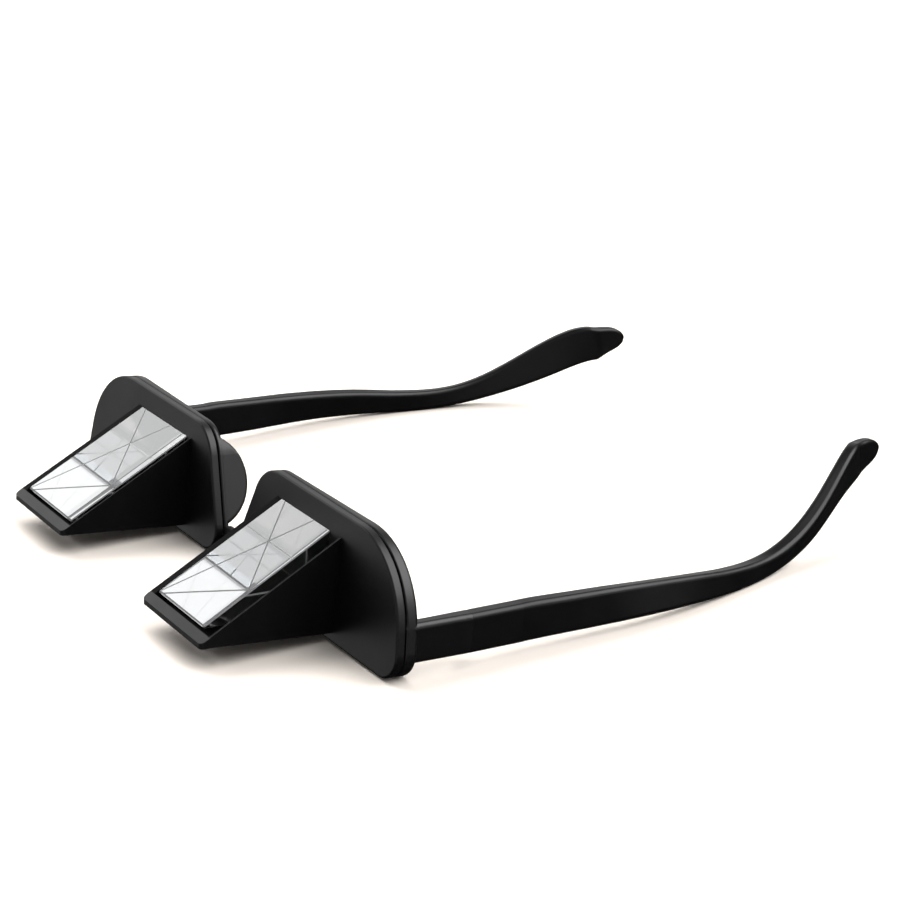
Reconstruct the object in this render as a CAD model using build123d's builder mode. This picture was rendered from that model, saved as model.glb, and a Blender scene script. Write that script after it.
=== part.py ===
from build123d import *
import os
from math import cos, radians, sin, tan

os.makedirs("parts", exist_ok=True)

# Prism bed glasses, lying upside down on their brow edges and on the bends of their temples.
# The wearer's right side is on +X, the prisms look towards -Y and the temples run to +Y.
# All lengths are in millimetres and all angles in degrees.

# How the glasses lie: level parts of the worn frame slope down towards the temples
rest_tilt = 2.8
rest_height = 5.5
front_setback = -56.0

# Spacing of the two prisms, which is the distance between the wearer's eyes
eye_spacing = 66.0
eye_x = eye_spacing / 2

# Glass prisms: right angle at the back, ground flat at the thin tip. Each stands lower than the
# plate by the headroom and has these gaps beside it, widest on the outer side of the right one.
prism_angle = 30.0
prism_headroom = 3.975
right_nose_gap = 0.3
right_outer_gap = 3.6
left_nose_gap = 1.0
left_outer_gap = 0.25
tip_flat = 0.6
glass_chamfer = 0.3
glass_play = 0.1

# Housing: flat front plate with a wedge shaped box that holds the prism
housing_half = 13.1
wall = 1.1
wall_rise = 0.2
wall_top_drop = 0.4
side_gap_depth = 2.8
lip_reach = 2.3
lip_thickness = 1.1
floor_front = 2.0
floor_back = 4.0
lip_corner_radius = 1.2
plate_thickness = 2.0
plate_edge_radius = 0.45
plate_back_radius = 0.3
plate_lean = 4.3
plate_drop = 5.3
plate_front = 3.45

# Outline of the plate, seen from the front, from its straight brow edge upwards
plate_height = 27.0
low_inner_x = 2.1
low_outer_x = 71.4
high_inner_x = 12.6
high_outer_x = 67.2
low_inner_radius = 5.0
low_outer_radius = 5.5
high_inner_radius = 9.0
high_outer_radius = 19.0

# Front frame: a ring behind each plate, thicker towards its outer end
rim_band = 2.6
rim_thickness_inner = 1.3
rim_thickness_outer = 2.9
rim_gap = 0.25
rim_groove_radius = 0.4
rim_edge_radius = 0.9
ridge_width = 1.2
ridge_height = 2.2
ridge_play = 0.15
ridge_margin = 1.6

# Bridge and nose pads
bridge_height = 5.4
bridge_depth = 3.0
bridge_low = 0.8
bridge_radius = 1.2
pad_length = 18.4
pad_low = 6.3
pad_reach = 5.65
pad_root = 0.6
pad_thickness = 2.2
pad_inset = 0.05
pad_edge_radius = 0.8

# Eye side retainer that keeps the prism in the plate
retainer_thickness = 1.4
retainer_overlap = 0.5
retainer_flare = 50.0
retainer_side = 2.6
retainer_low = 2.9
retainer_headroom = 2.9
retainer_radius = 1.5
retainer_screw_inset = 1.5
retainer_screw_rise = 4.5
retainer_bite = 1.4

# Small screws
screw_radius = 0.6
screw_head_radius = 1.0
screw_head_height = 0.5
screw_fit = 0.02
slot_width = 0.3
slot_depth = 0.2

# Temples: a bar that narrows to its bend and ends in a rounded paddle
temple_end = 143.4
temple_height = 8.6
temple_width = 3.8
temple_outer_inset = 1.2
temple_middle = 2.35
temple_rise = 15.4
temple_inset = 19.5
temple_cant = 10.0
temple_round = 1.1

# End pieces of the front frame, which carry the hinges
end_taper = 0.6
end_gusset = 2.4
end_gusset_length = 3.6

# Hinges: two leaves let into the inner faces, with three knuckles on one screw
hinge_y = 15.0
hinge_gap = 0.02
hinge_offset = 0.9
barrel_radius = 1.6
barrel_relief = 0.25
knuckle_height = 1.6
knuckle_gap = 0.15
pin_radius = 0.7
pin_play = 0.05
pin_head_radius = 1.2
pin_head_height = 0.6
leaf_thickness = 0.9
leaf_play = 0.05
leaf_height = 6.4
leaf_length = 6.6
leaf_screw_length = 2.5

# Sizes that follow from the ones above
prism_height = plate_height - plate_drop - prism_headroom
prism_base = prism_height / tan(radians(prism_angle))
window_length = prism_base / cos(radians(prism_angle))
tip_back = tip_flat / tan(radians(prism_angle))
room_half = housing_half - wall
lean_sine = sin(radians(plate_lean))
lean_cosine = cos(radians(plate_lean))
temple_outer_x = low_outer_x - temple_outer_inset
temple_inner_x = temple_outer_x - temple_width
hinge_x = temple_inner_x - hinge_offset
overrun = prism_base


def way(x, y, z):
    """A direction of the worn frame, turned into the lying pose."""
    return Vector(x, y, z).rotate(Axis.X, -rest_tilt)


def spot(x, y, z):
    """A place of the worn frame, measured from the back lower edges of the prisms."""
    return way(x, y, z) + Vector(0, front_setback, rest_height)


def plane_at(origin, x_dir, z_dir):
    """A working plane, given by a place and two directions of the worn frame."""
    return Plane(origin=spot(*origin), x_dir=way(*x_dir), z_dir=way(*z_dir))


def window_point(run, lift):
    """A side view point at a run along the window from its sharp tip, lifted off the glass."""
    slope = radians(prism_angle)
    return (
        -prism_base + run * cos(slope) - lift * sin(slope),
        run * sin(slope) + lift * cos(slope),
    )


# Working planes
plate_foot = (0, -plate_front, -plate_drop)
front_plane = plane_at(plate_foot, (1, 0, 0), (0, -lean_cosine, lean_sine))
plan_plane = plane_at(plate_foot, (1, 0, 0), (0, lean_sine, lean_cosine))
back_plane = front_plane.offset(-plate_thickness)
level_plane = plane_at((0, 0, 0), (1, 0, 0), (0, 0, 1))

# Outline of the plate and of the ring behind it
corners = [
    ((low_inner_x, 0), low_inner_radius),
    ((low_outer_x, 0), low_outer_radius),
    ((high_outer_x, plate_height), high_outer_radius),
    ((high_inner_x, plate_height), high_inner_radius),
]
with BuildSketch() as lens_shape:
    with BuildLine():
        Polyline([corner for corner, radius in corners], close=True)
    make_face()
    for corner, radius in corners:
        fillet(vertices().sort_by_distance(Vector(*corner))[0], radius)


def side_plane(reach):
    """The side view plane at a distance outwards from the middle of the housing."""
    return plane_at((eye_x + reach, 0, 0), (0, 1, 0), (1, 0, 0))


def side_block(outline, start, end):
    """A side view outline as a solid, from one reach to another."""
    with BuildPart() as block:
        with BuildSketch(side_plane(start)):
            with BuildLine():
                Polyline(outline, close=True)
            make_face()
        extrude(amount=end - start)
    return block.part


# Prism of solid glass
prism_outline = [
    (-prism_base + tip_back, 0),
    (0, 0),
    (0, prism_height),
    (-prism_base + tip_back, tip_flat),
]


def glass(nose_reach, outer_reach):
    """A prism with chamfers along its window and along its heel."""
    with BuildPart() as prism:
        add(side_block(prism_outline, -nose_reach, outer_reach))
        window = faces().sort_by(SortBy.AREA)[-1]
        window_edges = window.edges().sort_by(SortBy.LENGTH)[-2:]
        heel_edges = edges().filter_by(Axis.X).sort_by_distance(side_plane(0).origin)[:1]
        chamfer(window_edges + heel_edges, glass_chamfer)
    return prism.part


# Side view outlines of the wedge shaped box and of the room in it
lip_end = window_point(-lip_reach, wall_rise)
box_outline = [
    lip_end,
    window_point(window_length + overrun, wall_rise),
    (overrun, -floor_back),
    (0, -floor_back),
    (-prism_base, -floor_front),
    (lip_end[0], lip_end[1] - lip_thickness),
]
room_outline = [
    (-prism_base + tip_back - glass_play, -glass_play),
    (overrun, -glass_play),
    (overrun, overrun),
    (-prism_base + tip_back - glass_play, overrun),
]
side_gap_outline = [
    window_point(0, -side_gap_depth),
    window_point(window_length + overrun, -side_gap_depth),
    window_point(window_length + overrun, overrun),
    window_point(0, overrun),
]
wall_top_outline = [
    (-housing_half, 0),
    (-room_half, -wall_top_drop),
    (room_half, -wall_top_drop),
    (housing_half, 0),
    (housing_half, overrun),
    (-housing_half, overrun),
]
window_run = (0, cos(radians(prism_angle)), sin(radians(prism_angle)))
wall_top_plane = plane_at((eye_x, *window_point(0, wall_rise)), (-1, 0, 0), window_run)
glass_outline = [
    (-prism_base, -glass_play),
    (overrun, -glass_play),
    (overrun, prism_height + glass_play),
    window_point(window_length, glass_play),
    window_point(0, glass_play),
]


def wedge_box(nose_reach, outer_reach):
    """The wedge in front of the plate, open above the glass and beside it near the window."""
    with BuildPart() as wedge:
        add(side_block(box_outline, -housing_half, housing_half))
        lip_corners = edges().filter_by(lambda e: e.length < floor_front).sort_by(Axis.Y)[:2]
        fillet(lip_corners, lip_corner_radius)
        room = side_block(room_outline, -nose_reach - glass_play, outer_reach + glass_play)
        add(room, mode=Mode.SUBTRACT)
        add(side_block(side_gap_outline, -room_half, room_half), mode=Mode.SUBTRACT)
        with BuildSketch(wall_top_plane):
            with BuildLine():
                Polyline(wall_top_outline, close=True)
            make_face()
        extrude(amount=window_length + overrun, mode=Mode.SUBTRACT)
        split(bisect_by=front_plane.offset(-plate_thickness / 2), keep=Keep.TOP)
    return wedge.part


# Places of the retainer's screws, on the back of the plate
retainer_half = housing_half + retainer_side
retainer_high = plate_height - retainer_headroom
retainer_rise = retainer_high - retainer_low
retainer_middle = (retainer_high + retainer_low) / 2
retainer_screw_x = retainer_half - retainer_screw_inset
retainer_screw_y = retainer_rise / 2 - retainer_screw_rise
retainer_screw_spots = [
    (eye_x + side * retainer_screw_x, retainer_middle + end * retainer_screw_y)
    for side in (-1, 1)
    for end in (-1, 1)
]
retainer_screw_plane = Plane(
    origin=back_plane.offset(-retainer_thickness).origin,
    x_dir=back_plane.x_dir,
    z_dir=back_plane.z_dir,
)
retainer_screw_length = retainer_thickness + retainer_bite


def screw_set(plane, spots, length):
    """Slotted screws with their heads sunk flush at a plane and their shanks along its normal."""
    with BuildPart() as screws:
        with BuildSketch(plane):
            with Locations(*spots):
                Circle(screw_head_radius)
        extrude(amount=screw_head_height)
        with BuildSketch(plane):
            with Locations(*spots):
                Circle(screw_radius)
        extrude(amount=length)
        with BuildSketch(plane):
            with Locations(*spots):
                Rectangle(2 * screw_head_radius, slot_width)
        extrude(amount=slot_depth, mode=Mode.SUBTRACT)
    return screws.part


def screw_room(plane, spots, length):
    """The holes that such screws need, as one tool to cut with."""
    with BuildPart() as room:
        with BuildSketch(plane):
            with Locations(*spots):
                Circle(screw_head_radius + screw_fit)
        extrude(amount=screw_head_height)
        with BuildSketch(plane):
            with Locations(*spots):
                Circle(screw_radius + screw_fit)
        extrude(amount=length + screw_fit)
    return room.part


retainer_screw_room = screw_room(retainer_screw_plane, retainer_screw_spots, retainer_screw_length)


def prism_housing(nose_reach, outer_reach):
    """Plate and wedge in one piece, with two ridges on the back that sit inside the ring."""
    wedge = wedge_box(nose_reach, outer_reach)
    room = side_block(glass_outline, -nose_reach - glass_play, outer_reach + glass_play)
    with BuildPart() as housing:
        with BuildSketch(front_plane):
            add(lens_shape.sketch)
        extrude(amount=-plate_thickness)
        plate_faces = faces().sort_by(Axis(front_plane.origin, front_plane.z_dir))
        front_edges, back_edges = plate_faces[-1].edges(), plate_faces[0].edges()
        fillet(front_edges, plate_edge_radius)
        fillet(back_edges, plate_back_radius)
        add(wedge)
        add(room, mode=Mode.SUBTRACT)
        with BuildSketch(back_plane):
            add(lens_shape.sketch)
            offset(amount=-rim_band - ridge_play, mode=Mode.REPLACE)
            offset(amount=-ridge_width, mode=Mode.SUBTRACT)
            with Locations((eye_x, plate_height / 2)):
                Rectangle(2 * (retainer_half + ridge_margin), 2 * plate_height, mode=Mode.SUBTRACT)
            with Locations((temple_inner_x, plate_drop + temple_middle)):
                Rectangle(4 * end_gusset, temple_height + 2 * ridge_margin, mode=Mode.SUBTRACT)
        extrude(amount=-ridge_height)
        add(retainer_screw_room, mode=Mode.SUBTRACT)
    return housing.part


# Side view outline of the retainer's pocket
pocket_outline = [
    (-overrun, -glass_play),
    (glass_play, -glass_play),
    (glass_play, prism_height + glass_play),
    (-overrun, prism_height + glass_play),
]


def prism_retainer(nose_reach, outer_reach):
    """Eye side plate with a pocket for the glass, which it holds at both sides and at the top."""
    pocket = side_block(pocket_outline, -nose_reach - glass_play, outer_reach + glass_play)
    view_height = prism_height - retainer_overlap + glass_play
    view_middle = (eye_x + (outer_reach - nose_reach) / 2, 0, view_height / 2 - glass_play)
    with BuildPart() as view:
        with BuildSketch(plane_at(view_middle, (1, 0, 0), (0, 1, 0))):
            Rectangle(nose_reach + outer_reach - 2 * retainer_overlap, view_height)
        extrude(amount=2 * retainer_thickness, taper=-retainer_flare)
    with BuildPart() as retainer:
        with BuildSketch(back_plane):
            with Locations((eye_x, retainer_middle)):
                RectangleRounded(2 * retainer_half, retainer_rise, retainer_radius)
        extrude(amount=-retainer_thickness)
        add(pocket, mode=Mode.SUBTRACT)
        add(view.part, mode=Mode.SUBTRACT)
        add(retainer_screw_room, mode=Mode.SUBTRACT)
    return retainer.part


# Temple stations at even steps: shares of the rise, inset, height, width and cant
bar_shares = [
    (0.00, 0.00, 1.00, 1.00, 0.0),
    (0.01, -0.02, 0.97, 0.99, 0.1),
    (0.01, -0.04, 0.93, 0.98, 0.4),
    (0.01, -0.06, 0.88, 0.97, 0.8),
    (0.00, -0.06, 0.82, 0.95, 1.0),
    (-0.02, -0.03, 0.75, 0.94, 0.9),
    (-0.05, 0.03, 0.66, 0.93, 0.6),
    (-0.06, 0.11, 0.60, 0.92, 0.1),
    (-0.01, 0.21, 0.58, 0.92, -0.5),
    (0.14, 0.33, 0.68, 0.92, -1.0),
    (0.40, 0.49, 0.90, 0.88, -1.1),
    (0.73, 0.69, 1.09, 0.82, -0.7),
    (0.96, 0.91, 1.08, 0.78, 0.0),
]
bar_start_share = 0.096
bar_end_share = 0.934

# Stations of the rounded tip, each with its share of the length in front
tip_shares = [
    (0.965, 1.02, 0.96, 0.80, 0.74, 0.0),
    (0.984, 1.03, 0.98, 0.61, 0.66, 0.0),
    (0.995, 1.02, 0.99, 0.40, 0.54, 0.0),
    (1.000, 1.01, 0.99, 0.23, 0.40, 0.0),
]
root_x = temple_outer_x - temple_width / 2
root_y = hinge_y + hinge_gap
temple_length = temple_end - root_y
bar_step_share = (bar_end_share - bar_start_share) / (len(bar_shares) - 1)
station_shares = [(bar_start_share + step * bar_step_share, *row) for step, row in enumerate(bar_shares)]
station_shares += tip_shares
temple_places = [
    Vector(
        root_x - inset_share * temple_inset,
        root_y + length_share * temple_length,
        temple_middle + rise_share * temple_rise,
    )
    for length_share, rise_share, inset_share, *section_shares in station_shares
]


def temple_heading(index):
    """Direction of the bar at a station, from the stations on both sides of it."""
    if index == 0:
        return Vector(0, 1, 0)
    after = min(index + 1, len(temple_places) - 1)
    return (temple_places[after] - temple_places[index - 1]).normalized()


def temple_span(first, last):
    """The bar from one station to another, as one smooth loft."""
    with BuildPart() as span:
        for index in range(first, last + 1):
            height_share, width_share, cant_share = station_shares[index][3:]
            heading = temple_heading(index)
            across = heading.cross(Vector(0, 0, 1)).normalized()
            across = across.rotate(Axis((0, 0, 0), heading), -temple_cant * cant_share)
            with BuildSketch(plane_at(tuple(temple_places[index]), tuple(across), tuple(heading))):
                RectangleRounded(
                    width_share * temple_width,
                    height_share * temple_height,
                    width_share * temple_round,
                )
        loft()
    return span.part


last_bar = len(bar_shares) - 1
temple_bar = temple_span(0, last_bar)
temple_tip = temple_span(last_bar, len(station_shares) - 1)

# Hinge leaves: flat plates with their knuckles around one screw
barrel_height = 3 * knuckle_height + 2 * knuckle_gap
barrel_low = temple_middle - barrel_height / 2
knuckle_step = knuckle_height + knuckle_gap
leaf_low = temple_middle - leaf_height / 2
leaf_near = barrel_radius + barrel_relief + leaf_play
leaf_far = leaf_near + leaf_length
leaf_x = temple_inner_x + leaf_thickness / 2
leaf_screw_spots = [(-leaf_length / 4, 0), (leaf_length / 4, 0)]


def leaf_screw_plane(side):
    """Plane of the screw heads of the front leaf, side -1, or of the temple leaf, side 1."""
    middle = hinge_y + side * (leaf_near + leaf_far) / 2
    return plane_at((temple_inner_x, middle, temple_middle), (0, 1, 0), (1, 0, 0))


def leaf(side, knuckles):
    """A hinge leaf on one side of the axis, with the given ones of the three knuckles."""
    with BuildPart() as piece:
        with BuildSketch(level_plane.offset(leaf_low)):
            with Locations((leaf_x, hinge_y + side * (leaf_near + leaf_far) / 2)):
                Rectangle(leaf_thickness, leaf_length)
        extrude(amount=leaf_height)
        for knuckle in knuckles:
            with BuildSketch(level_plane.offset(barrel_low + knuckle * knuckle_step)):
                with Locations((hinge_x, hinge_y)):
                    Circle(barrel_radius)
                with Locations((leaf_x, hinge_y + side * leaf_near / 2)):
                    Rectangle(leaf_thickness, leaf_near)
            extrude(amount=knuckle_height)
        with BuildSketch(level_plane.offset(barrel_low)):
            with Locations((hinge_x, hinge_y)):
                Circle(pin_radius + pin_play)
        extrude(amount=barrel_height, mode=Mode.SUBTRACT)
        add(screw_room(leaf_screw_plane(side), leaf_screw_spots, leaf_screw_length), mode=Mode.SUBTRACT)
    return piece.part


def hinge_room(side):
    """The pocket of a leaf with the hollow around the barrel and the holes of its screws."""
    with BuildPart() as room:
        with BuildSketch(level_plane.offset(barrel_low - overrun)):
            with Locations((hinge_x, hinge_y)):
                Circle(barrel_radius + barrel_relief)
        extrude(amount=barrel_height + 2 * overrun)
        with BuildSketch(level_plane.offset(leaf_low - leaf_play)):
            with Locations((leaf_x, hinge_y + side * (leaf_far + leaf_play) / 2)):
                Rectangle(leaf_thickness + 2 * leaf_play, leaf_far + leaf_play)
        extrude(amount=leaf_height + 2 * leaf_play)
        add(screw_room(leaf_screw_plane(side), leaf_screw_spots, leaf_screw_length))
    return room.part


with BuildPart() as hinge_screw:
    with BuildSketch(level_plane.offset(barrel_low - pin_head_height)):
        with Locations((hinge_x, hinge_y)):
            Circle(pin_head_radius)
    extrude(amount=pin_head_height - screw_fit)
    with BuildSketch(level_plane.offset(barrel_low - pin_head_height)):
        with Locations((hinge_x, hinge_y)):
            Circle(pin_radius)
    extrude(amount=pin_head_height + barrel_height)
    with BuildSketch(level_plane.offset(barrel_low - pin_head_height)):
        with Locations((hinge_x, hinge_y)):
            Rectangle(2 * pin_head_radius, slot_width)
    extrude(amount=slot_depth, mode=Mode.SUBTRACT)

# Temple: a straight root with the leaf pocket, then the bar, cut flat where it rests
temple_hinge_room = hinge_room(1)
with BuildPart() as temple:
    with BuildSketch(plane_at((root_x, root_y, temple_middle), (1, 0, 0), (0, 1, 0))):
        RectangleRounded(temple_width, temple_height, temple_round)
    extrude(amount=bar_start_share * temple_length)
    add(temple_bar)
    add(temple_tip)
    add(temple_hinge_room, mode=Mode.SUBTRACT)
    split(bisect_by=Plane.XY, keep=Keep.TOP)

# Rings of the front frame
ring_front = plate_thickness + rim_gap
ring_inner_reach = high_inner_x + high_inner_radius
ring_outline = [
    (low_inner_x, ring_front),
    (low_outer_x, ring_front),
    (low_outer_x, ring_front + rim_thickness_outer),
    (low_inner_x, ring_front + rim_thickness_inner),
]
with BuildPart() as ring:
    with BuildSketch(front_plane):
        add(lens_shape.sketch)
        offset(amount=-rim_band, mode=Mode.SUBTRACT)
    extrude(amount=-ring_front - overrun)
    with BuildSketch(plan_plane):
        with BuildLine():
            Polyline(ring_outline, close=True)
        make_face()
    extrude(amount=plate_height, mode=Mode.INTERSECT)
    flat_faces = faces().sort_by(SortBy.AREA)[-2:]
    ring_back, ring_face = flat_faces.sort_by(Axis(front_plane.origin, front_plane.z_dir))
    groove_edges = ring_face.outer_wire().edges()
    fillet(ring_back.outer_wire().edges(), rim_edge_radius)
    fillet(groove_edges, rim_groove_radius)

# End piece: a short bar from the ring to the hinge, with a gusset on its inner side
end_top_lean = lean_sine * (plate_drop + temple_middle + temple_height / 2)
end_front = ring_front - plate_front + end_top_lean
end_back = hinge_y - hinge_gap
gusset_height = temple_height - 2 * temple_round
gusset_outline = [
    (temple_inner_x - end_gusset, end_front),
    (root_x, end_front),
    (root_x, end_front + end_gusset_length),
    (temple_inner_x, end_front + end_gusset_length),
]
with BuildPart() as end_piece:
    for section_y, taper in ((end_front, end_taper), (end_back, 0)):
        with BuildSketch(plane_at((root_x - taper / 2, section_y, temple_middle), (1, 0, 0), (0, 1, 0))):
            RectangleRounded(temple_width - taper, temple_height, temple_round)
    loft(ruled=True)
    with BuildSketch(level_plane.offset(temple_middle - gusset_height / 2)):
        with BuildLine():
            Polyline(gusset_outline, close=True)
        make_face()
    extrude(amount=gusset_height)

# Nose pad: a rounded lobe that carries the inner side of the ring on backwards
pad_middle = pad_low + pad_length / 2
pad_start = ring_front + pad_root
pad_end = ring_front + rim_thickness_inner + pad_reach
with BuildPart() as nose_pad:
    with BuildSketch(plane_at(plate_foot, (0, lean_cosine, -lean_sine), (1, 0, 0))):
        with BuildLine():
            pad_arc = ThreePointArc(
                (pad_start, pad_low),
                (pad_end, pad_middle),
                (pad_start, pad_low + pad_length),
            )
            Line(pad_arc @ 1, pad_arc @ 0)
        make_face()
    extrude(amount=ring_inner_reach)
    pad_crown = faces().filter_by(GeomType.CYLINDER)[0].center()
    with BuildSketch(front_plane):
        add(lens_shape.sketch)
        offset(amount=-pad_inset, mode=Mode.REPLACE)
        offset(amount=-pad_thickness, mode=Mode.SUBTRACT)
    extrude(amount=-overrun, mode=Mode.INTERSECT)
    pad_crown_face = faces().sort_by_distance(pad_crown)[0]
    fillet(pad_crown_face.edges().sort_by(SortBy.LENGTH)[-2:], pad_edge_radius)

# Front frame: both rings with their end pieces and nose pads, joined by the bridge
bridge_half = low_inner_x + rim_band
bridge_middle = ring_front + bridge_depth / 2
front_hinge_room = hinge_room(-1)
with BuildPart() as front_frame:
    add(ring.part)
    add(end_piece.part)
    add(nose_pad.part)
    add(front_hinge_room, mode=Mode.SUBTRACT)
    mirror(about=Plane.YZ)
    with BuildSketch(plane_at(plate_foot, (0, 1, 0), (1, 0, 0))):
        with Locations((bridge_middle, bridge_low + bridge_height / 2)):
            RectangleRounded(bridge_depth, bridge_height, bridge_radius)
    extrude(amount=bridge_half, both=True)
    split(bisect_by=Plane.XY, keep=Keep.TOP)

front_frame.part.label = "front_frame"
export_step(front_frame.part, "parts/front_frame.step")

# Pieces that are alike on both sides, modelled on the wearer's right
paired_pieces = {
    "retainer_screws": screw_set(retainer_screw_plane, retainer_screw_spots, retainer_screw_length),
    "hinge_front_leaf": leaf(-1, (0, 2)),
    "front_leaf_screws": screw_set(leaf_screw_plane(-1), leaf_screw_spots, leaf_screw_length),
    "hinge_screw": hinge_screw.part,
    "hinge_temple_leaf": leaf(1, (1,)),
    "temple_leaf_screws": screw_set(leaf_screw_plane(1), leaf_screw_spots, leaf_screw_length),
    "temple": temple.part,
}

# Pieces of each side, where those around the glass follow that side's prism
sides = {
    "right": (room_half - right_nose_gap, room_half - right_outer_gap),
    "left": (room_half - left_nose_gap, room_half - left_outer_gap),
}
for side, reaches in sides.items():
    side_pieces = {
        "prism_housing": prism_housing(*reaches),
        "prism": glass(*reaches),
        "prism_retainer": prism_retainer(*reaches),
        **paired_pieces,
    }
    for name, piece in side_pieces.items():
        with BuildPart() as placed:
            add(piece)
            if side == "left":
                mirror(about=Plane.YZ, mode=Mode.REPLACE)
        placed.part.label = f"{name}_{side}"
        export_step(placed.part, f"parts/{name}_{side}.step")
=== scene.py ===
# %% [markdown]
# # Prism bed glasses in Blender
#
# These glasses let somebody read while lying flat on their back. Each eye looks into a glass
# prism that turns the view down towards the chest. The whole object is black moulded plastic,
# so nearly everything that the eye gets from it is gloss: soft highlights along the rounded
# edges, dark flat faces, and two bright windows of polished glass.
#
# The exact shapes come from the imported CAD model. This file gives them their finishes, makes
# the two prisms again as real optical glass, and lights them as in a small photo studio.

import math

import bmesh
import bpy
from mathutils import Matrix, Vector


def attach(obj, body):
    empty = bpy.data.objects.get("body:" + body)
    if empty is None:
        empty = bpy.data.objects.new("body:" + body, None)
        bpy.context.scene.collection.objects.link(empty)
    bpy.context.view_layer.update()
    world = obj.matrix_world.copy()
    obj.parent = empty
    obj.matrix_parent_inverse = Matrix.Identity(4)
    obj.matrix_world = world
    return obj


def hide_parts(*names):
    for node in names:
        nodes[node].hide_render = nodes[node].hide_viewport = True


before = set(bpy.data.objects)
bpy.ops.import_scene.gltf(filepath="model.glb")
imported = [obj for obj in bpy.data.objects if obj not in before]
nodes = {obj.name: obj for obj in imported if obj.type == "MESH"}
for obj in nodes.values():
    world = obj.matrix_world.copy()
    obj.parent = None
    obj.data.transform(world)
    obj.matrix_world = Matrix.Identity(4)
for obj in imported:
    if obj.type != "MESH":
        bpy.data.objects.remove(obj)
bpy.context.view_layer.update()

# %% [markdown]
# Colours are easiest to choose as hex values, as in a paint program. Blender calculates with
# linear light instead, so one function turns each hex value into linear numbers. Lengths are
# easiest to think about in millimetres, and Blender gets them in metres.

# %% Helpers for colour and size
MM = 0.001


def ink(hex_colour):
    """A hex colour as linear red, green, blue and alpha."""
    channels = [int(hex_colour[i : i + 2], 16) / 255 for i in (1, 3, 5)]
    linear = [c / 12.92 if c <= 0.04045 else ((c + 0.055) / 1.055) ** 2.4 for c in channels]
    return (*linear, 1.0)


def per_mm(size):
    """The scale of a texture whose grains are this many millimetres across."""
    return 1 / (size * MM)


print("black ABS as linear light:", [round(c, 4) for c in ink("#09090b")])

# %% [markdown]
# A material is a small network of nodes. One helper adds a node, gives it its settings and
# links what comes before it, so that each finish below reads as a short list. A socket that
# shares its name with others is given by its place instead, such as i6 for the seventh input.

# %% Helpers for materials


def add_node(tree, kind, settings=None, **inputs):
    """Adds a node: settings are its own options, inputs are numbers, colours or sockets."""
    node = tree.nodes.new(kind)
    for name, value in (settings or {}).items():
        setattr(node, name, value)
    for name, value in inputs.items():
        by_place = name[0] == "i"
        socket = node.inputs[int(name[1:])] if by_place else node.inputs[name.replace("_", " ")]
        if isinstance(value, bpy.types.NodeSocket):
            tree.links.new(value, socket)
        else:
            socket.default_value = value
    return node


def new_material(name):
    """An empty material with its output and the place of a point in metres."""
    material = bpy.data.materials.new(name)
    material.use_nodes = True
    tree = material.node_tree
    tree.nodes.clear()
    output = tree.nodes.new("ShaderNodeOutputMaterial")
    place = tree.nodes.new("ShaderNodeTexCoord").outputs["Object"]
    return material, tree, output, place


# %% [markdown]
# The frame, its temples and the prism housings are black ABS, moulded in steel moulds that were
# blasted to a fine grain. The grain is about a quarter of a millimetre across and very shallow.
# It spreads the highlights a little, so that edges glow softly instead of glinting. Plastic like
# this has an IOR near 1.5, and handling polishes it unevenly, which a slow change in roughness
# shows. The mouldings differ a little: the temples have been rubbed smoother, the housings are
# slightly more matt than the frame, and the retainers behind the glass are dull and untouched.
#
# A picture of grain could be laid over the plastic, but it would need a flat map of every
# piece. Noise that is worked out from the place of each point needs none.

# %% Black moulded plastics
ABS_IOR = 1.53
CLOUD_MM = 14


def moulded_plastic(name, dark, light, roughness, gloss_spread, specular, grain_mm, grain_height_mm):
    """Black ABS from a blasted mould: fine grain, uneven gloss and a slow change of shade."""
    material, tree, output, place = new_material(name)
    cloud = add_node(
        tree,
        "ShaderNodeTexNoise",
        Vector=place,
        Scale=per_mm(CLOUD_MM),
        Detail=3.0,
        Roughness=0.6,
    ).outputs["Fac"]
    shade = add_node(
        tree,
        "ShaderNodeMix",
        {"data_type": "RGBA"},
        Factor=cloud,
        i6=ink(dark),
        i7=ink(light),
    )
    gloss = add_node(
        tree,
        "ShaderNodeMapRange",
        Value=cloud,
        From_Min=0.3,
        From_Max=0.7,
        To_Min=roughness - gloss_spread,
        To_Max=roughness + gloss_spread,
    )
    grain = add_node(
        tree,
        "ShaderNodeTexNoise",
        Vector=place,
        Scale=per_mm(grain_mm),
        Detail=2.0,
        Roughness=0.5,
    )
    bump = add_node(
        tree,
        "ShaderNodeBump",
        Strength=1.0,
        Distance=grain_height_mm * MM,
        Height=grain.outputs["Fac"],
    )
    shader = add_node(
        tree,
        "ShaderNodeBsdfPrincipled",
        Base_Color=shade.outputs[2],
        Roughness=gloss.outputs["Result"],
        Normal=bump.outputs["Normal"],
        IOR=ABS_IOR,
        Specular_IOR_Level=specular,
    )
    tree.links.new(shader.outputs["BSDF"], output.inputs["Surface"])
    return material


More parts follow.
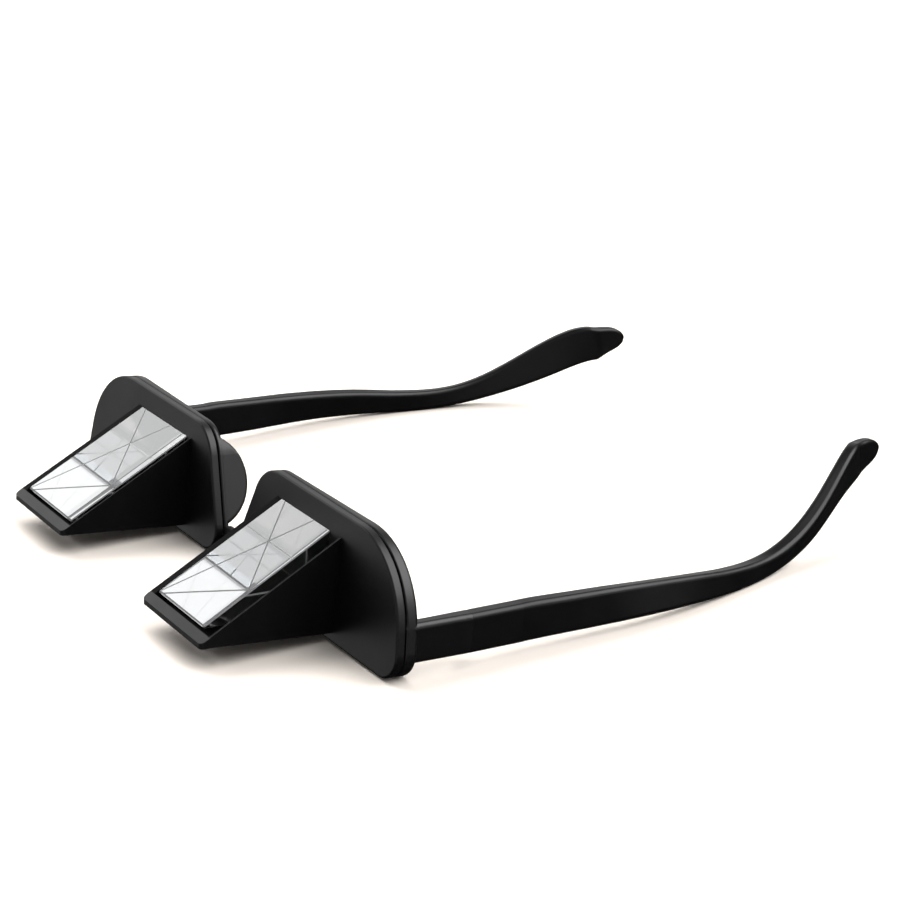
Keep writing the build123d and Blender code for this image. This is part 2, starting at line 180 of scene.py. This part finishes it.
frame_abs = moulded_plastic(
    "black_abs_frame",
    dark="#050506",
    light="#09090b",
    roughness=0.36,
    gloss_spread=0.03,
    specular=0.42,
    grain_mm=0.25,
    grain_height_mm=0.004,
)
housing_abs = moulded_plastic(
    "black_abs_housing",
    dark="#040405",
    light="#08080a",
    roughness=0.38,
    gloss_spread=0.03,
    specular=0.36,
    grain_mm=0.25,
    grain_height_mm=0.005,
)
temple_abs = moulded_plastic(
    "black_abs_temple",
    dark="#050506",
    light="#09090b",
    roughness=0.34,
    gloss_spread=0.04,
    specular=0.3,
    grain_mm=0.3,
    grain_height_mm=0.004,
)
retainer_abs = moulded_plastic(
    "black_abs_retainer",
    dark="#070708",
    light="#0e0e10",
    roughness=0.5,
    gloss_spread=0.04,
    specular=0.4,
    grain_mm=0.35,
    grain_height_mm=0.006,
)
print("plastics:", [m.name for m in (frame_abs, housing_abs, temple_abs, retainer_abs)])

# %% [markdown]
# Screws and hinge leaves are nickel plated steel. Turning and stamping leave fine marks. Each
# one could be a groove in the mesh, but they are finer than a hair, so a noise that changes the
# roughness and a trace of bump do instead. It is drawn out along one direction on the leaves,
# and coarser than real, a fifth of a millimetre or more, so that it shows. A metal keeps the
# default IOR, because its colour and metallic value carry the reflection.

# %% Nickel plated steel


def plated_steel(name, tint, roughness, mark_mm, stretch):
    """Nickel plate with fine marks from the tool that made the piece."""
    material, tree, output, place = new_material(name)
    mapping = add_node(tree, "ShaderNodeMapping", Vector=place, Scale=stretch)
    marks = add_node(
        tree,
        "ShaderNodeTexNoise",
        Vector=mapping.outputs["Vector"],
        Scale=per_mm(mark_mm),
        Detail=3.0,
    ).outputs["Fac"]
    gloss = add_node(
        tree,
        "ShaderNodeMapRange",
        Value=marks,
        To_Min=roughness - 0.08,
        To_Max=roughness + 0.12,
    )
    bump = add_node(tree, "ShaderNodeBump", Strength=0.6, Distance=0.004 * MM, Height=marks)
    shader = add_node(
        tree,
        "ShaderNodeBsdfPrincipled",
        Base_Color=ink(tint),
        Metallic=1.0,
        Roughness=gloss.outputs["Result"],
        Normal=bump.outputs["Normal"],
    )
    tree.links.new(shader.outputs["BSDF"], output.inputs["Surface"])
    return material


screw_steel = plated_steel(
    "nickel_plated_screw_steel", tint="#b9b7b1", roughness=0.28, mark_mm=0.3, stretch=(1, 1, 1)
)
leaf_steel = plated_steel(
    "nickel_plated_hinge_steel", tint="#aeaca6", roughness=0.34, mark_mm=0.2, stretch=(1, 1, 6)
)
print("steels:", screw_steel.name, leaf_steel.name)

# %% [markdown]
# Each CAD node keeps its own mesh and gets its finish through its material slots. A finish could
# be given to each node by its full name, but the names begin with what the piece is, so a short
# table of beginnings is enough. The first beginning that fits counts.

# %% Finishes for the CAD nodes
finishes = {
    "front_frame": frame_abs,
    "prism_housing": housing_abs,
    "prism_retainer": retainer_abs,
    "temple_leaf_screws": screw_steel,
    "front_leaf_screws": screw_steel,
    "retainer_screws": screw_steel,
    "hinge_screw": screw_steel,
    "hinge": leaf_steel,
    "temple": temple_abs,
}
for name, node in nodes.items():
    finish = next((material for start, material in finishes.items() if name.startswith(start)), None)
    if finish is not None:
        node.data.materials.clear()
        node.data.materials.append(finish)
print("finished nodes:", sum(1 for node in nodes.values() if node.data.materials))

# %% [markdown]
# A prism is sawn from a block of crown glass, ground flat and polished on all its large faces.
# Glass could be a plain see-through surface, but only one that bends light, with the IOR of
# crown glass and no roughness, shows what a real window shows: the room, mirrored inside.
#
# The sharp edges would chip, so each one is ground off to a narrow frosted chamfer, whose grit
# is drawn coarser than real so that it shows. The polished faces mirror those chamfers into each
# other, and that draws the crossing grey lines in the windows. The long lower face is coated
# with aluminium and keeps the light in.

# %% Optical glass, its frosted chamfers and its mirror coating
CROWN_GLASS_IOR = 1.517


def polished_glass(name):
    """Crown glass, clear with the faintest cloudy tint and no haze on its polish."""
    material, tree, output, place = new_material(name)
    cloud = add_node(tree, "ShaderNodeTexNoise", Vector=place, Scale=per_mm(6), Detail=2.0)
    tint = add_node(
        tree,
        "ShaderNodeMix",
        {"data_type": "RGBA"},
        Factor=cloud.outputs["Fac"],
        i6=ink("#f9fbfa"),
        i7=ink("#feffff"),
    )
    shader = add_node(
        tree,
        "ShaderNodeBsdfPrincipled",
        Base_Color=tint.outputs[2],
        IOR=CROWN_GLASS_IOR,
        Roughness=0.0,
        Transmission_Weight=1.0,
    )
    tree.links.new(shader.outputs["BSDF"], output.inputs["Surface"])
    return material


def frosted_chamfer(name, tint):
    """Ground glass: it scatters light evenly, seen from inside the prism as from outside."""
    material, tree, output, place = new_material(name)
    grit = add_node(tree, "ShaderNodeTexNoise", Vector=place, Scale=per_mm(0.15), Detail=1.0)
    haze = add_node(
        tree, "ShaderNodeMapRange", Value=grit.outputs["Fac"], To_Min=0.5, To_Max=0.7
    )
    shader = add_node(
        tree,
        "ShaderNodeBsdfPrincipled",
        Base_Color=ink(tint),
        IOR=CROWN_GLASS_IOR,
        Roughness=haze.outputs["Result"],
    )
    tree.links.new(shader.outputs["BSDF"], output.inputs["Surface"])
    return material


def mirror_coating(name, thin, thick):
    """Vacuum coated aluminium, with the faint unevenness of a thin film."""
    material, tree, output, place = new_material(name)
    film = add_node(tree, "ShaderNodeTexNoise", Vector=place, Scale=per_mm(9), Detail=1.0)
    tint = add_node(
        tree,
        "ShaderNodeMix",
        {"data_type": "RGBA"},
        Factor=film.outputs["Fac"],
        i6=ink(thin),
        i7=ink(thick),
    )
    shader = add_node(
        tree,
        "ShaderNodeBsdfPrincipled",
        Base_Color=tint.outputs[2],
        Metallic=1.0,
        Roughness=0.0,
    )
    tree.links.new(shader.outputs["BSDF"], output.inputs["Surface"])
    return material


crown_glass = polished_glass("polished_crown_glass")
side_chamfer = frosted_chamfer("ground_glass_chamfer", tint="#77777a")
# The heel chamfer is painted nearly white: a painted highlight for the light that shines through it
# from the eye side.
heel_painted_highlight = frosted_chamfer("ground_glass_heel_painted_highlight", tint="#f6f6f6")
aluminium_film = mirror_coating("aluminium_mirror_film", thin="#f0f1f2", thick="#f7f8f9")
edge_film = mirror_coating("dull_aluminium_edge_film", thin="#9c9d9f", thick="#a6a7a9")

prism_finishes = (crown_glass, aluminium_film, side_chamfer, heel_painted_highlight, edge_film)
GLASS, FILM, CHAMFER, HEEL_HIGHLIGHT, EDGE_FILM = range(len(prism_finishes))
print("prism finishes:", [material.name for material in prism_finishes])

# %% [markdown]
# Seen from its side a prism is a right angled triangle, 30 degrees at the tip, which is cut off
# to a narrow flat. The glasses lie upside down and lean a little on their brow edges, so every
# prism is drawn level first, and then tilted and moved to its place. Measuring from the back
# lower edge keeps the numbers the same as on a workshop drawing.
#
# The two prisms aren't the same width, and each leaves gaps of its own to the walls of its
# housing, as in the photograph. The front plate crosses each prism in a leaning plane.

# %% Sizes of the prisms, as they were made
prism_angle = math.radians(30)
prism_height = 17.725
prism_base = prism_height / math.tan(prism_angle)
tip_flat = 0.6
tip_back = tip_flat / math.tan(prism_angle)
chamfer = 0.22
eye_x = 33.0
room_half = 12.0
nose_and_outer_gaps = {"right": (0.3, 3.6), "left": (1.0, 0.25)}

rest_tilt = math.radians(-2.8)
front_setback = -56.0
rest_height = 5.5
tilt = Matrix.Rotation(rest_tilt, 3, "X")

side_outline = [
    (-prism_base + tip_back, 0),
    (0, 0),
    (0, prism_height),
    (-prism_base + tip_back, tip_flat),
]
HEEL_CORNER = 1


def worn_to_part(x, y, z):
    """A place measured from a prism's back lower edge, in the lying frame and in metres."""
    return (tilt @ Vector((x, y, z)) + Vector((0, front_setback, rest_height))) * MM


plate_front = 3.45
plate_drop = 5.3
plate_lean = math.radians(4.3)
plate_place = worn_to_part(0, -plate_front, -plate_drop)
plate_normal = tilt @ Vector((0, -math.cos(plate_lean), math.sin(plate_lean)))
print("prism base in mm:", round(prism_base, 2), "plate normal:", [round(c, 3) for c in plate_normal])

# %% [markdown]
# The CAD solid has only the chamfers that matter for its fit. Here the prism is made again from
# the corners of its side outline, so that every edge gets its chamfer. A bevel modifier could
# grind the edges too, but in mesh code the faces can still be told apart afterwards, and each
# kind of face needs its own finish. A cut along the front plate's plane then parts the window
# into its open part and the strip that the plate covers.

# %% Cutting and grinding the glass


def sawn_block(near, far):
    """A sharp edged prism between two places along x, in mm, and the two ends of its heel."""
    body = bmesh.new()
    rings = [[body.verts.new(worn_to_part(x, y, z)) for y, z in side_outline] for x in (near, far)]
    body.faces.new(rings[0])
    body.faces.new(rings[1][::-1])
    for i in range(len(side_outline)):
        j = (i + 1) % len(side_outline)
        body.faces.new((rings[0][j], rings[0][i], rings[1][i], rings[1][j]))
    bmesh.ops.recalc_face_normals(body, faces=body.faces)
    return body, [ring[HEEL_CORNER].co.copy() for ring in rings]


def rounded_normal(face):
    """The direction of a face, rounded so that equal directions compare as equal."""
    return tuple(round(c, 3) for c in face.normal)


def grind(body):
    """Chamfers every edge, cuts along the plate, and gives the directions of the polished faces."""
    polished = {rounded_normal(face) for face in body.faces}
    bmesh.ops.bevel(body, geom=list(body.edges), offset=chamfer * MM, segments=1, affect="EDGES")
    bmesh.ops.recalc_face_normals(body, faces=body.faces)
    everything = list(body.verts) + list(body.edges) + list(body.faces)
    bmesh.ops.bisect_plane(body, geom=everything, plane_co=plate_place, plane_no=plate_normal)
    body.normal_update()
    return polished


trial, _ = sawn_block(near=0, far=1)
print("directions of the polished faces:", sorted(grind(trial)))
trial.free()

# %% [markdown]
# Each face gets its finish by where it looks and where it lies. The long lower face is coated.
# The strip of the window behind the plate carries a duller film, so that the inside mirrors grey
# light there and not the black pocket that it sits in. All other large faces are clear, and the
# chamfers are frosted. The right prism's heel chamfer is painted nearly white, a painted highlight
# for light shining through it from the eye side. On the left prism the coating runs around the heel.

# %% Finishing the glass
SAME_WAY = 0.999
HEEL_REACH = 1
down = tilt @ Vector((0, 0, -1))
window_normal = tilt @ Vector((0, -math.sin(prism_angle), math.cos(prism_angle)))
heel_finishes = {"right": HEEL_HIGHLIGHT, "left": FILM}


def finish_faces(body, polished, heel_ends, heel_finish):
    """Gives each face its material and flat shading."""
    heel_line = (heel_ends[1] - heel_ends[0]).normalized()
    for face in body.faces:
        centre = face.calc_center_median()
        covered = (centre - plate_place).dot(plate_normal) < 0
        from_heel = (centre - heel_ends[0]).cross(heel_line).length
        if rounded_normal(face) in polished:
            if face.normal.dot(down) > SAME_WAY:
                face.material_index = FILM
            elif face.normal.dot(window_normal) > SAME_WAY and covered:
                face.material_index = EDGE_FILM
            else:
                face.material_index = GLASS
        else:
            # On the right prism the heel chamfer gets the painted highlight, a near white tint.
            face.material_index = heel_finish if from_heel < HEEL_REACH * MM else CHAMFER
        face.smooth = False


def make_prism(side):
    """One finished prism, which rides on the front and takes the place of the CAD one."""
    nose_gap, outer_gap = nose_and_outer_gaps[side]
    sign = 1 if side == "right" else -1
    near, far = eye_x - room_half + nose_gap, eye_x + room_half - outer_gap
    body, heel_ends = sawn_block(sign * near, sign * far)
    polished = grind(body)
    finish_faces(body, polished, heel_ends, heel_finishes[side])
    mesh = bpy.data.meshes.new(f"glass_prism_{side}")
    body.to_mesh(mesh)
    body.free()
    for material in prism_finishes:
        mesh.materials.append(material)
    prism = bpy.data.objects.new(f"glass_prism_{side}", mesh)
    bpy.context.scene.collection.objects.link(prism)
    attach(prism, "front")
    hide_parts(f"prism_{side}")
    areas = [0.0] * len(prism_finishes)
    for polygon in mesh.polygons:
        areas[polygon.material_index] += polygon.area / MM**2
    print(side, "prism:", len(mesh.polygons), "faces, width in mm", round(far - near, 2))
    print("area of each finish in mm2:", [round(area, 1) for area in areas])


for side in ("right", "left"):
    make_prism(side)

# %% [markdown]
# The glasses lie on a seamless sheet of white paper. In the photograph it is lit a little more
# than white, so it loses all detail except in the soft shadows under the wedges, which have the
# warm tone of bounced light. A slightly warm paper does the same: where it is fully lit all
# three colours clip to white, and in the shadows the warmth stays. A flat sheet is enough, as no
# back edge of the paper comes into view. Photographers shade the paper with dark cards to keep
# black gloss black, and a sheet that mirrored rays pass through does the same here.

# %% Paper floor
half_floor = 4.0
floor_drop = 0.05

paper, tree, output, place = new_material("white_seamless_paper")
fibre = add_node(tree, "ShaderNodeTexNoise", Vector=place, Scale=per_mm(3), Detail=3.0)
tone = add_node(
    tree,
    "ShaderNodeMix",
    {"data_type": "RGBA"},
    Factor=fibre.outputs["Fac"],
    i6=ink("#f6ede4"),
    i7=ink("#f9f1e8"),
)
shader = add_node(tree, "ShaderNodeBsdfPrincipled", Base_Color=tone.outputs[2], Roughness=0.9)
tree.links.new(shader.outputs["BSDF"], output.inputs["Surface"])

floor_corners = [
    (x * half_floor, y * half_floor, 0) for x, y in ((-1, -1), (1, -1), (1, 1), (-1, 1))
]
floor_mesh = bpy.data.meshes.new("paper_floor")
floor_mesh.from_pydata(floor_corners, [], [(0, 1, 2, 3)])
floor_mesh.materials.append(paper)
floor = bpy.data.objects.new("paper_floor", floor_mesh)
floor.location.z = -floor_drop * MM
floor.visible_glossy = False
bpy.context.scene.collection.objects.link(floor)
print("paper in m:", 2 * half_floor, "square")

# %% [markdown]
# A studio light for black gloss is mostly a question of what the plastic mirrors. One broad
# softbox hangs overhead and a little behind, and draws the light lines along the rims and the
# temples. Pale screens stand at the front and behind, and the two on the right are what the
# camera sees in the windows: the one in front in their upper part, the brighter one behind near
# their tips. A small card high on the left brightens the edges that face it. The rest of the
# room stays dim, so the flat black faces stay black.
#
# Lamps could do all this, but a world made of soft patches lights the whole floor evenly, which
# a lamp close by wouldn't. It also lets the paper have a light of its own, from the left, which
# draws the shadows under the wedges, and a white backdrop for the camera.

# %% Helpers for patches of light
world = bpy.data.worlds.new("studio")
bpy.context.scene.world = world
world.use_nodes = True
tree = world.node_tree
tree.nodes.clear()
output = tree.nodes.new("ShaderNodeOutputWorld")
direction = tree.nodes.new("ShaderNodeTexCoord").outputs["Generated"]


def soft_patch(towards, radius_deg, edge_deg, strength):
    """A round patch of light in the world, with a soft edge."""
    aim = Vector(towards).normalized()
    dot = add_node(
        tree, "ShaderNodeVectorMath", {"operation": "DOT_PRODUCT"}, i0=direction, i1=aim
    )
    inner = math.cos(math.radians(max(radius_deg - edge_deg, 0)))
    outer = math.cos(math.radians(radius_deg + edge_deg))
    ramp = add_node(
        tree,
        "ShaderNodeMapRange",
        {"interpolation_type": "SMOOTHSTEP"},
        Value=dot.outputs["Value"],
        From_Min=outer,
        From_Max=inner,
        To_Min=0.0,
        To_Max=strength,
    )
    return ramp.outputs["Result"]


def light_sum(patches, base):
    """The patches added up over an even base strength, as one background."""
    total = base
    for patch in patches:
        total = add_node(
            tree, "ShaderNodeMath", {"operation": "ADD"}, i0=total, i1=soft_patch(*patch)
        ).outputs[0]
    return add_node(
        tree, "ShaderNodeBackground", Strength=total, Color=(1, 1, 1, 1)
    ).outputs[0]


# %% Studio light
# Each patch has its direction, its radius and soft edge in degrees, and its strength.
overhead_softbox = ((0.33, 0.50, 0.80), 30, 8, 5.0)
front_left_screen = ((-0.72, -0.62, 0.32), 40, 10, 0.7)
front_right_screen = ((0.72, -0.62, 0.32), 40, 10, 0.42)
high_left_card = ((-0.85, -0.1, 0.6), 13, 9, 1.7)
back_left_screen = ((-0.775, 0.565, 0.282), 18, 8, 0.9)
back_right_screen = ((0.775, 0.565, 0.282), 22, 8, 0.86)
paper_lamp = ((-0.72, 0.02, 0.69), 24, 18, 7.6)
dim_room, dim_paper, white = 0.02, 0.12, 1.0

mirrored_light = light_sum(
    [
        overhead_softbox,
        front_left_screen,
        front_right_screen,
        high_left_card,
        back_left_screen,
        back_right_screen,
    ],
    dim_room,
)
floor_light = light_sum([paper_lamp], dim_paper)
backdrop = light_sum([], white)

light_path = tree.nodes.new("ShaderNodeLightPath").outputs
lit = add_node(
    tree,
    "ShaderNodeMixShader",
    Fac=light_path["Is Diffuse Ray"],
    i1=mirrored_light,
    i2=floor_light,
)
chosen = add_node(
    tree,
    "ShaderNodeMixShader",
    Fac=light_path["Is Camera Ray"],
    i1=lit.outputs[0],
    i2=backdrop,
)
tree.links.new(chosen.outputs[0], output.inputs["Surface"])
bpy.context.scene.view_settings.view_transform = "Standard"
print("nodes in the world:", len(tree.nodes))

# %% [markdown]
# A ray that enters a prism is mirrored up to nine times before it leaves again. Blender stops
# following it sooner as it starts, and what it gives up on comes out black, so the windows need
# higher limits.

# %% How far light is followed
follow = bpy.context.scene.cycles
follow.max_bounces = 20
follow.glossy_bounces = 14
follow.transmission_bounces = 14
print("bounces:", follow.max_bounces, follow.glossy_bounces, follow.transmission_bounces)

# %% [markdown]
# The camera stands in front of the wearer's right side, about half a metre away and 20 degrees
# above the table, with a long lens. It was placed by matching the corners of both wedges and the
# ends of both temples with the photograph. Its focal length was found in pixels of that
# picture, and a camera 36 mm wide turns it into a lens.

# %% Camera
camera_place = (390.08, -265.03, 191.19)
azimuth, elevation, roll = math.radians(55.82), math.radians(20.38), math.radians(1.95)
photo_px, focal_px, sensor_mm = 900, 2165.7, 36

forward = Vector(
    (
        -math.sin(azimuth) * math.cos(elevation),
        math.cos(azimuth) * math.cos(elevation),
        -math.sin(elevation),
    )
)
right = Vector((math.cos(azimuth), math.sin(azimuth), 0))
up = right.cross(forward)
level_right = right * math.cos(roll) + up * math.sin(roll)
level_up = up * math.cos(roll) - right * math.sin(roll)
turn = Matrix((level_right, level_up, -forward)).transposed().to_4x4()

camera_data = bpy.data.cameras.new("studio_camera")
camera_data.sensor_width = sensor_mm
camera_data.lens = sensor_mm * focal_px / photo_px
camera_data.clip_start, camera_data.clip_end = 0.01, 20
camera = bpy.data.objects.new("studio_camera", camera_data)
camera.matrix_world = Matrix.Translation(Vector(camera_place) * MM) @ turn
bpy.context.scene.collection.objects.link(camera)
bpy.context.scene.camera = camera
print("lens in mm:", round(camera_data.lens, 1))
